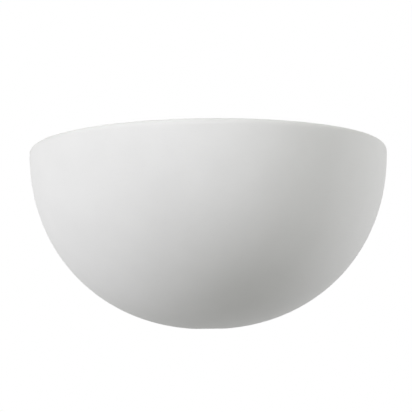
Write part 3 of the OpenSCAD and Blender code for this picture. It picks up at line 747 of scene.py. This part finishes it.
def flangeOutline():
    b = bowl
    top = b["flangeTop"]
    edges = [[(bowlRadius(inset, top), top)] + [p for p in bowlCurve(inset, b["edgeSteps"]) if p[1] < top]
             for inset in (b["wall"] / 2, b["wall"] + b["flangeWidth"])]
    half = edges[0] + edges[1][::-1]
    return half, mirrored(half)


def lugOutline():
    b = bowl
    r = b["lugRadius"]
    inWall = [(bowlRadius(b["wall"] / 2, z), z) for z in (-r + 2 * r * i / 12 for i in range(13))]
    side = arcPoints((b["lugAt"], 0), r, 90, 270, b["lugSteps"]) + inWall
    return side, mirrored(side)


# The concave fillet between the flange's front and the wall, swept along the wall's inner curve
def makeFillet():
    b = bowl
    r, sunk = b["fillet"], b["filletSunk"]
    hollow = [(r - r * math.sin(a), r - r * math.cos(a)) for a in map(math.radians, (90, 67, 45, 22, 0))]
    section = [(-sunk, -r / 2), (-sunk, r)] + hollow + [(r, -r / 2)]
    fadeOut = b["flangeTop"] - 1
    curve = [p for p in bowlCurve(b["wall"], b["edgeSteps"]) if p[1] < fadeOut]
    path = curve + mirrored(curve)[1:]
    points = []
    for i, (x, z) in enumerate(path):
        before, after = Vector(path[max(i - 1, 0)]), Vector(path[min(i + 1, len(path) - 1)])
        along = (after - before).normalized()
        inward = Vector((along.y, -along.x))
        points += [(x + inward.x * n, -(b["flangeDepth"] + d), z + inward.y * n) for n, d in section]
    size = len(section)
    faces = [(i * size + k, i * size + (k + 1) % size, (i + 1) * size + (k + 1) % size, (i + 1) * size + k)
             for i in range(len(path) - 1) for k in range(size)]
    faces += [tuple(range(size)), tuple(range(len(points) - size, len(points)))]
    piece = newPiece("bowlFillet", meshFrom("bowlFillet", points, faces))
    tidyMesh(piece.data)
    return piece


def cutAway(piece, tools):
    for tool in tools:
        cut = piece.modifiers.new("cut", "BOOLEAN")
        cut.operation = "DIFFERENCE"
        cut.solver = "EXACT"
        cut.object = tool
    applyModifiers(piece)
    for tool in tools:
        bpy.data.objects.remove(tool)


def remeshed(piece, voxel, soften):
    remesh = piece.modifiers.new("clay", "REMESH")
    remesh.mode = "VOXEL"
    remesh.voxel_size = voxel * mm
    smooth = piece.modifiers.new("soften", "SMOOTH")
    smooth.factor = 0.5
    smooth.iterations = soften
    applyModifiers(piece)


# The pocket for the bracket's end and the hole for the thumb screw, in each lug
def lugCutters():
    b = bowl
    past = 2
    r, x = b["pocketRadius"], b["lugAt"]
    pocket = arcPoints((x, 0), r, 90, -90, 24) + [(x - b["pocketReach"], -r), (x - b["pocketReach"], r)]
    hole = arcPoints((x, 0), b["holeRadius"], 0, 350, 35)
    cuts = (("pocket", pocket, b["pocketDepth"]), ("hole", hole, b["lugDepth"] + 2 * past))
    return [prism(name, side, -past, depth) for name, outline, depth in cuts
            for side in (outline, mirrored(outline))]


# The lump's back is flush with the wall's up to the wall's inner curve, and lies inside it beyond
def seatBack(work):
    b = bowl
    for v in work.verts:
        x, y, z = (c / mm for c in v.co)
        y = min(y, 0.0)
        for inset, depth in ((b["wall"], b["sunk"]), (b["wall"] - b["buried"], b["buried"])):
            if abs(x) > bowlRadius(inset, z) or z < b["widestLevel"] - b["fall"] + inset:
                y = min(y, -depth)
        v.co.y = y * mm


# The flange and the two lugs as one softened lump of clay, sunk halfway into the wall
def makeFlange():
    b = bowl
    back = -b["backAllowance"]
    solids = [prism("flangeHalf", half, back, b["flangeDepth"]) for half in flangeOutline()]
    solids += [prism("lug", side, back, b["lugDepth"]) for side in lugOutline()]
    solids.append(makeFillet())
    clay = joined("bowlFlange", solids)
    remeshed(clay, b["voxel"], 0)
    cutAway(clay, lugCutters())
    remeshed(clay, b["voxel"], b["soften"])
    editMesh(clay.data, seatBack)
    return clay


ceramicBowl = settleJoined("ceramicBowl", [makeShell(), makeFlange()], "ceramic_bowl", sharpAngle=50)
print("bowl ready,", len(ceramicBowl.data.polygons), "faces")

thumbScrew = {
    "x": 116,
    "headBack": 12.6,            # from the wall
    "headRadius": 7,
    "headLength": 9,
    "bossRadius": 3.4,
    "bossHeight": 0.7,
    "chamfer": 1,
    "backChamfer": 0.4,
    "soften": 0.25,
    "knurls": 24,
    "knurlDepth": 0.5,
    "knurlEdge": -0.6,
    "knurlFrom": 0.9,
    "slotWidth": 1.2,
    "slotDepth": 1.5,
    "neckRadius": 1.6,
    "thread": {"radius": 2.0, "depth": 0.38, "pitch": 0.7, "bottom": 0.3, "top": 3.1, "fade": 0.35,
               "around": 40, "perTurn": 12},
}


def outwardFrame(x, back, z):
    return Matrix.Translation((x * mm, -back * mm, z * mm)) @ Matrix.Rotation(quarterTurn, 4, "X")


def makeScrewHead(x):
    f = thumbScrew
    r, h, boss, step = f["headRadius"], f["headLength"], f["bossRadius"], f["bossHeight"]
    back = f["backChamfer"]
    outline = softCorners([(0, 0), (boss, 0), (boss + back, step), (r - back, step), (r, step + 0.5),
                           (r, h - f["chamfer"]), (r - f["chamfer"], h), (0, h)], f["soften"], 3)
    knurling = flutes(f["knurls"], f["knurlDepth"], f["knurlEdge"], beyond=r - 1.5, low=f["knurlFrom"],
                      high=h + 0.5, fade=0.6)
    head = turned("head", dense(outline, 0.68, climbsOnly=True), materials["nickel"], steps=240,
                  place=outwardFrame(x, f["headBack"], 0), sharpAngle=60, more=knurling)
    deep = f["headBack"] + h - f["slotDepth"]
    across, w = r + 2, f["slotWidth"] / 2
    corners = [(x - across, -w), (x + across, -w), (x + across, w), (x - across, w)]
    cutAway(head, [prism("slot", corners, deep, deep + 4)])
    return head


def makeThumbScrews():
    f = thumbScrew
    nickel, r, threadTop = materials["nickel"], f["neckRadius"], f["thread"]["top"]
    neckTop = f["headBack"] + 0.4
    neckOutline = [(0, threadTop - 0.3), (r, threadTop - 0.1), (r, neckTop), (0, neckTop)]
    for x, node in ((-f["x"], "thumb_screw_left"), (f["x"], "thumb_screw_right")):
        place = outwardFrame(x, 0, 0)
        neck = turned("neck", neckOutline, nickel, steps=40, place=place)
        thread = threaded("thread", nickel, place, **f["thread"])
        settleJoined(node + "_turned", [makeScrewHead(x), neck, thread], node, sharpAngle=40)


lugWashers = {
    "fibre_washers": {"name": "fibreWashers", "bore": 2.35, "rim": 6, "back": 11.5, "front": 12.5,
                      "soften": 0.2},
    "retaining_washers": {"name": "nylonWashers", "bore": 1.85, "rim": 4, "back": 3.3, "front": 4.3,
                          "soften": 0.25},
}


def makeLugWashers():
    for node, w in lugWashers.items():
        bore, rim, back, front = w["bore"], w["rim"], w["back"], w["front"]
        outline = softCorners([(bore, back), (rim, back), (rim, front), (bore, front)], w["soften"], 3)
        pair = [turned("washer", outline, materials[slotOf(node)], steps=64, place=outwardFrame(x, 0, 0))
                for x in (-thumbScrew["x"], thumbScrew["x"])]
        settleJoined(w["name"], pair, node)


makeThumbScrews()
makeLugWashers()
print("fasteners ready")

edgeBreaks = {                   # taken off the edges of each pressed or moulded piece
    "wall_bracket": 0.16,
    "clinch_nuts": 0.2,
    "terminal_block": 0.1,
    "terminal_tubes": 0.03,
    "terminal_screws": 0.12,
    "block_screws": 0.2,
    "block_nuts": 0.25,
    "earth_screw": 0.25,
    "earth_washer": 0.12,
    "earth_ring": 0.04,
    "earth_nut": 0.3,
    "nipple_nut": 0.35,
    "nipple_washer": 0.15,
    "holder_insert": 0.25,
    "centre_contact": 0.1,
    "side_contact": 0.1,
    "holder_screws": 0.2,
    "led_board": 0.1,
    "driver_board": 0.1,
}
refining = {"merge": 0.002, "flatAngle": 0.6, "sharpAngle": 35, "segments": 2, "flatWeight": 90}


# A copy of a CAD node with its edges broken, its flat faces kept flat and its curves shaded smooth
def refined(node, edgeBreak):
    mesh = frame["nodes"][node].data.copy()
    mesh.name = node + "_refined"

    def change(work):
        bmesh.ops.remove_doubles(work, verts=work.verts, dist=refining["merge"] * mm)
        bmesh.ops.dissolve_limit(work, angle_limit=math.radians(refining["flatAngle"]), verts=work.verts,
                                 edges=work.edges)
        for face in work.faces:
            face.smooth = True
    editMesh(mesh, change)
    piece = newPiece(node + "_refined", mesh)
    bevel = piece.modifiers.new("edges", "BEVEL")
    bevel.width = edgeBreak * mm
    bevel.segments = refining["segments"]
    bevel.limit_method = "ANGLE"
    bevel.angle_limit = math.radians(refining["sharpAngle"])
    bevel.use_clamp_overlap = False
    flat = piece.modifiers.new("flatFaces", "WEIGHTED_NORMAL")
    flat.weight = refining["flatWeight"]
    flat.keep_sharp = False
    applyModifiers(piece)
    return piece


for name, edgeBreak in edgeBreaks.items():
    settle(refined(name, edgeBreak), name)
print("pressed and moulded pieces ready")

grommet = {
    "x": -27,
    "z": -8,
    "plateFront": 5.6,           # from the wall
    "bore": 4.5,
    "neck": 7,
    "lip": 9,
    "lipThickness": 1.8,
    "groove": 1.6,               # thickness of the plate that it grips
    "taper": 0.8,
    "soften": 0.7,
}


def makeGrommet():
    g = grommet
    bore, neck, lip = g["bore"], g["neck"], g["lip"]
    inner = g["lipThickness"]
    outer = inner + g["groove"]
    top = outer + inner
    outline = softCorners([(bore, 0), (lip, 0), (lip, inner), (neck, inner), (neck, outer), (lip, outer),
                           (lip - g["taper"], top), (bore, top)], g["soften"], 5)
    settle(turned("cableGrommet", outline, materials["grommet_rubber"],
                  place=outwardFrame(g["x"], g["plateFront"] - outer, g["z"])), "cable_grommet")


makeGrommet()

# Where the lampholder stands on the bracket's tongue, and how many degrees it leans from the wall
seat = {"y": -27.885, "z": -68.598, "tilt": 30}
lean = math.radians(seat["tilt"])
lampFrame = Matrix.Translation((0, seat["y"] * mm, seat["z"] * mm)) @ Matrix.Rotation(lean, 4, "X")


def onAxis(side, up):
    return (side, seat["y"] - up * math.sin(lean), seat["z"] + up * math.cos(lean))


leads = {
    "live_lead": [
        (9, -12.1, -8), (13, -12.1, -8), (18.5, -12.2, -9), (23.5, -12.8, -13), (27, -13.5, -20),
        (29, -14, -29), (29.5, -14, -42), (28.8, -13.5, -56), (26.5, -13, -69), (23.8, -12.5, -80),
        (19.5, -12, -89.5), (12.5, -12, -95), (6, -12.8, -95.5), onAxis(2.3, -25), onAxis(1.5, -18),
        onAxis(1.5, -11), onAxis(1.5, -5), onAxis(1.5, 1.5), onAxis(2.6, 6), onAxis(5.2, 9.8),
        onAxis(7.5, 13)],
    "neutral_lead": [
        (9, -12.1, -19), (13, -12.1, -19), (18, -12.2, -20.5), (22, -12.6, -25), (24.3, -13, -32),
        (25, -13, -42), (24.3, -12.5, -54), (21, -12, -66), (17, -11.5, -76), (12, -10.8, -83.5),
        (6.8, -10.5, -88.5), (1.5, -12, -91), onAxis(-1.2, -23.5), onAxis(-1.5, -17.5),
        onAxis(-1.5, -11), onAxis(-1.5, -5), onAxis(-1.5, 1.5), onAxis(-2.6, 6), onAxis(-5.2, 9.8),
        onAxis(-7.5, 13)],
    "earth_lead": [
        (9, -12.1, 3), (13, -12.1, 3), (17, -12, 2.8), (20.4, -11.4, 0.6), (22.2, -10.2, -4),
        (22.6, -8.8, -9.5), (22.7, -8.3, -15), (24.2, -8.2, -18.6), (27.8, -8.2, -20.1),
        (31.5, -8.2, -18.6), (33, -8.2, -15), (33, -8.2, -8.5), (33, -8.2, -2)],
}
leadMake = {
    "sleeve": {"diameter": 2.4, "ringGap": 0.7, "sides": 20},
    "wire": {"diameter": 1.2, "ringGap": 0.5, "sides": 12},
    "bareLength": 3.5,           # of wire ahead of the sleeve, in the terminal
    "wireInside": 1.0,
}


def tubeAlong(name, route, material, diameter, ringGap, sides):
    chain = [(i, i + 1) for i in range(len(route) - 1)]
    piece = newPiece(name, meshFrom(name, route, edges=chain))
    runTree(piece, sleevedLead, {"Diameter": diameter * mm, "Ring Gap": ringGap * mm, "Sides": sides,
                                 "Material": material})
    tidyMesh(piece.data, 60)
    return piece


# Each sleeve ends inside its terminal, and the bare wire runs on
def makeLeads():
    for node, route in leads.items():
        settle(tubeAlong(node + "_sleeve", route, materials[slotOf(node)], **leadMake["sleeve"]), node)
        first, second = Vector(route[0]), Vector(route[1])
        inward = (second - first).normalized()
        bare = [first - inward * leadMake["bareLength"], first + inward * leadMake["wireInside"]]
        wire = tubeAlong(node + "_wire", bare, materials["copper_wire"], **leadMake["wire"])
        settle(wire, node)


makeLeads()
print("leads ready")

# Outlines of the holder and the lamp are radius and height along the lamp's axis
skirt = {"radius": 19.5, "low": 15, "top": 52, "gripHeight": 21, "ribs": 24, "ribDepth": 0.6, "ribEdge": 0.35}
base = {"radius": 17, "top": 22, "wall": 2, "bore": 5.05, "neck": 9, "bead": 0.4}
nipple = {"radius": 5, "depth": 0.55, "pitch": 1.0, "bottom": -10, "top": 6, "bore": 3.75, "fade": 0.7,
          "around": 72, "perTurn": 10}
shell = {"radius": 14.2, "low": 27, "top": 51, "sheet": 0.45, "floorHole": 7}
rolled = {"pitch": 3.6, "boreDepth": 0.6, "rounded": 1.0, "around": 128}     # thread rolled in thin sheet


def makeSkirt():
    k = skirt
    r, low, top, grip = k["radius"], k["low"], k["top"], k["low"] + k["gripHeight"]
    inner = base["radius"] + 0.3
    mouth = shell["radius"] + 0.4
    outline = softCorners([(inner, low), (r - 1, low), (r, low + 1), (r, grip), (r - 0.5, grip + 0.6),
                           (r - 0.5, top - 8), (r - 1.4, top - 2.4), (r - 3, top), (mouth, top),
                           (mouth, top - 2), (inner, top - 4)], 0.6)
    ribs = flutes(k["ribs"], k["ribDepth"], k["ribEdge"], beyond=r - 0.9, low=low + 2, high=grip - 1.5,
                  fade=1.2)
    settle(turned("holderSkirt", dense(outline, 1.2), materials["holder_white"], steps=288,
                  place=lampFrame, more=ribs), "holder_skirt")


def makeBase():
    h = base
    r, neck, bead, inner = h["radius"], h["neck"], h["bead"], h["radius"] - h["wall"]
    beadAt = 13.8
    outline = softCorners([(h["bore"], 0), (neck - 1, 0), (neck, 1), (neck, 5), (r, 11), (r, beadAt - bead),
                           (r - bead, beadAt), (r, beadAt + bead), (r, h["top"]), (inner, h["top"]),
                           (inner, 12), (neck - 1, 7.2), (h["bore"], 7.2)], 0.5)
    settle(turned("holderBase", outline, materials["holder_white"], steps=128, place=lampFrame),
           "holder_base")


# The shell's screw thread shows on both faces, because it is rolled from sheet
def makeScrewShell():
    s, low, top, depth = shell["radius"], shell["low"], shell["top"], rolled["boreDepth"]
    inner, brass = s - depth - shell["sheet"], materials["brass"]
    sleeve = threaded("shellThread", brass, lampFrame, s, depth, bottom=low + 1.5, top=top - 0.8, bore=inner,
                      fade=0.8, perTurn=14, **rolled)
    rim = softCorners([(inner, top - 1.2), (s - 0.3, top - 1.2), (s, top - 0.4), (s, top), (s - 0.5, top),
                       (inner, top - 0.7)], 0.2, 3)
    hole, wall = shell["floorHole"], s - 1.1
    floor = softCorners([(hole, low), (s - 0.7, low), (s - 0.5, low + 0.3), (s - 0.5, low + 2.2),
                         (wall, low + 2.2), (wall, low + 0.9), (hole, low + 0.9)], 0.2, 3)
    ends = [turned(name, outline, brass, steps=128, place=lampFrame)
            for name, outline in (("shellRim", rim), ("shellFloor", floor))]
    settleJoined("screwShell", [sleeve] + ends, "screw_shell", sharpAngle=50)


makeSkirt()
makeBase()
settle(threaded("holderNipple", materials["zinc"], lampFrame, **nipple), "holder_nipple")
makeScrewShell()
print("lampholder ready")

lampCap = {
    "radius": 13,
    "low": 34.5,
    "top": 56,
    "threadDepth": 0.95,
    "footHole": 10.6,
    "crimps": 12,
    "crimp": [(0, -0.12), (0.45, -0.12), (0.7, 0.05), (0.55, 0.16), (0.3, 0.06), (0, 0.02)],
    "crimpBelow": 0.55,          # under the cap's top
    "crimpInset": 0.985,
}


def makeLampCap():
    c, tin = lampCap, materials["cap_metal"]
    r, low, top = c["radius"], c["low"], c["top"]
    root = r - c["threadDepth"]
    sleeve = threaded("capThread", tin, lampFrame, r, c["threadDepth"], bottom=low + 1.6, top=top - 2.2,
                      bore=root - 0.5, fade=1.6, perTurn=16, **rolled)
    footOutline = softCorners([(c["footHole"], low), (11.3, low), (root, low + 1.4), (root, low + 2.2),
                               (root - 0.6, low + 2.2), (root - 0.8, low + 1.2), (c["footHole"], low + 0.6)],
                              0.25, 3)
    collarOutline = softCorners([(root - 0.5, top - 2.8), (root, top - 2.8), (root + 0.2, top - 1.7),
                                 (r, top - 1.1), (r, top), (r - 1, top), (root - 0.6, top - 1)], 0.25, 4)
    ends = [turned(name, outline, tin, steps=128, place=lampFrame)
            for name, outline in (("capFoot", footOutline), ("capCollar", collarOutline))]
    onRim = Matrix.Translation((r * mm, 0, (top - c["crimpBelow"]) * mm))
    dots = turned("crimp", c["crimp"], tin, steps=14, place=onRim @ Matrix.Rotation(quarterTurn, 4, "Y"))
    runTree(dots, setRound, {"Count": c["crimps"], "Material": tin})
    dots.data.transform(lampFrame @ Matrix.Diagonal((c["crimpInset"], c["crimpInset"], 1, 1)))
    settleJoined("lampCap", [sleeve, *ends, dots], "lamp_cap", sharpAngle=50)


lampBody = {
    "tip": 29.7,
    "contact": [(0, 0), (2.6, 0.05), (3.6, 0.25), (4.5, 0.9), (4.6, 1.3), (0, 1.3)],         # above the tip
    "insulator": [(0, 1.3), (4.8, 1.3), (6.5, 2.3), (11, 4.8), (0, 4.8)],
    "housing": [                 # above the cap's top
        (11.1, -6), (11.1, 0), (12.6, 0), (12.6, 3), (13.3, 5.6), (15.4, 9), (17.2, 11.9), (19, 15),
        (20.6, 19), (21.5, 21.5), (21.5, 22), (20, 22), (20, 20.7), (18.9, 20.7), (17.4, 15.4),
        (13.9, 9.6), (11, 3.6), (9.6, 0), (9.6, -6)],
    "housingTop": 78,
    "globeRadius": 22.5,
    "globeAt": 85.2,
    "globeWall": 1.2,
}


def makeLampBody():
    a = lampBody
    g, at = a["globeRadius"], a["globeAt"]
    inside = g - a["globeWall"]
    edges = [math.degrees(math.asin((a["housingTop"] - at) / radius)) for radius in (g, inside)]
    globe = arcPoints((0, at), g, 90, edges[0], 48) + arcPoints((0, at), inside, edges[1], 90, 40)
    insulator = softCorners(raised(a["insulator"], a["tip"]), 0.6, 5)
    contact = softCorners(raised(a["contact"], a["tip"]), 0.5)
    housing = softCorners(raised(a["housing"], lampCap["top"]), 0.8, 5)
    for name, outline, finish, steps, node in (
            ("lampInsulator", insulator, "black_insulator", 96, "lamp_insulator"),
            ("lampContact", contact, "solder", 64, "lamp_contact"),
            ("lampHousing", housing, "lamp_plastic", 160, "lamp_housing"),
            ("lampGlobe", globe, "opal_plastic", 160, "lamp_globe")):
        settle(turned(name, outline, materials[finish], steps=steps, place=lampFrame), node)


diode = {"count": 8, "width": 2.6, "height": 0.73, "sunk": 0.05, "at": 10.8, "edgeBreak": 0.15}


def makeDiodes():
    d = diode
    phosphor = materials["phosphor"]
    middle = (d["at"] * mm, 0, (lampBody["housingTop"] - d["sunk"] + d["height"] / 2) * mm)
    size = Matrix.Diagonal((d["width"] * mm, d["width"] * mm, d["height"] * mm, 1))

    def change(work):
        bmesh.ops.create_cube(work, size=1, matrix=Matrix.Translation(middle) @ size)
        bmesh.ops.bevel(work, geom=work.edges[:], offset=d["edgeBreak"] * mm, segments=3, profile=0.5,
                        affect="EDGES")
    diodes = newPiece("diode", bpy.data.meshes.new("diode"))
    editMesh(diodes.data, change)
    runTree(diodes, setRound, {"Count": d["count"], "Material": phosphor})
    diodes.data.transform(lampFrame)
    tidyMesh(diodes.data, 30)
    settle(diodes, "led_board")


makeLampCap()
makeLampBody()
makeDiodes()
print("lamp ready")

studio = {                       # in metres
    "ambient": 0.25,
    "ambientColor": (0.97, 1, 0.82, 1),
    "floorLevel": -1.5,
    "floorSize": 30.0,
    "floorColor": (0.42, 0.42, 0.415),
    "floorGlow": 0.76,           # added where the camera sees the floor, so that it is pale
    "lampSize": 1.0,
    "lampDistance": 2.0,
    "lampColor": (0.955, 0.945, 1.0),
    "lamps": {                   # degrees round to the right, degrees up, watts
        "leftPanel": (-45, 10, 27.2),
        "frontPanel": (25, 10, 5.9),
        "topPanel": (50, 30, 9.3),
        "overhead": (180, 68, 7),
        "backPanel": (180, 14, 12),
        "rightRim": (120, -10, 11.8),
        "lowRightRim": (120, -28, 4.1),
        "lowLeftRim": (-120, -28, 9.4),
    },
}


# 1 where the camera looks straight at the studio, or sees it in metal or through glass
def seenRays(tree):
    path = addNode(tree, "ShaderNodeLightPath").outputs
    return calc(tree, "MAXIMUM", path["Is Camera Ray"],
                calc(tree, "MAXIMUM", path["Is Glossy Ray"], path["Is Transmission Ray"]))


def makeWorld():
    world = bpy.data.worlds.new("studioWorld")
    scene.world = world
    world.use_nodes = True
    tree = world.node_tree
    background = tree.nodes["Background"]
    seen = seenRays(tree)
    level = remap(tree, seen, 0.0, 1.0, studio["ambient"], 1.0)
    tint = addNode(tree, "ShaderNodeMix", {"data_type": "RGBA"}, {
        "Factor": seen, 6: studio["ambientColor"], 7: (1, 1, 1, 1)})
    tree.links.new(tint.outputs[2], background.inputs["Color"])
    tree.links.new(level, background.inputs["Strength"])


def makeFloor():
    half = studio["floorSize"] / 2 / mm
    z = studio["floorLevel"] / mm
    corners = [(-half, -half, z), (half, -half, z), (half, half, z), (-half, half, z)]
    ground = newPiece("floor", meshFrom("floor", corners, [(0, 1, 2, 3)]))
    paint = matt("floorPaint", studio["floorColor"], 0.85, grain=0.02, grainScale=60, drift=0.01,
                 driftScale=2)
    tree = paint.node_tree
    shader = tree.nodes["Principled BSDF"]
    shader.inputs["Emission Color"].default_value = (1, 1, 1, 1)
    glow = calc(tree, "MULTIPLY", seenRays(tree), studio["floorGlow"])
    tree.links.new(glow, shader.inputs["Emission Strength"])
    setMaterial(ground, paint)


def makeLamps():
    for name, (aside, up, watts) in studio["lamps"].items():
        data = bpy.data.lights.new(name, "AREA")
        data.shape = "DISK"
        data.size = studio["lampSize"]
        data.energy = watts
        data.color = studio["lampColor"]
        panel = bpy.data.objects.new(name, data)
        turn, rise = math.radians(aside), math.radians(up)
        towards = Vector((math.sin(turn) * math.cos(rise), -math.cos(turn) * math.cos(rise), math.sin(rise)))
        panel.location = towards * studio["lampDistance"]
        panel.rotation_euler = towards.to_track_quat("Z", "Y").to_euler()
        scene.collection.objects.link(panel)


makeWorld()
makeFloor()
makeLamps()
scene.view_settings.view_transform = "Standard"
print("studio ready")
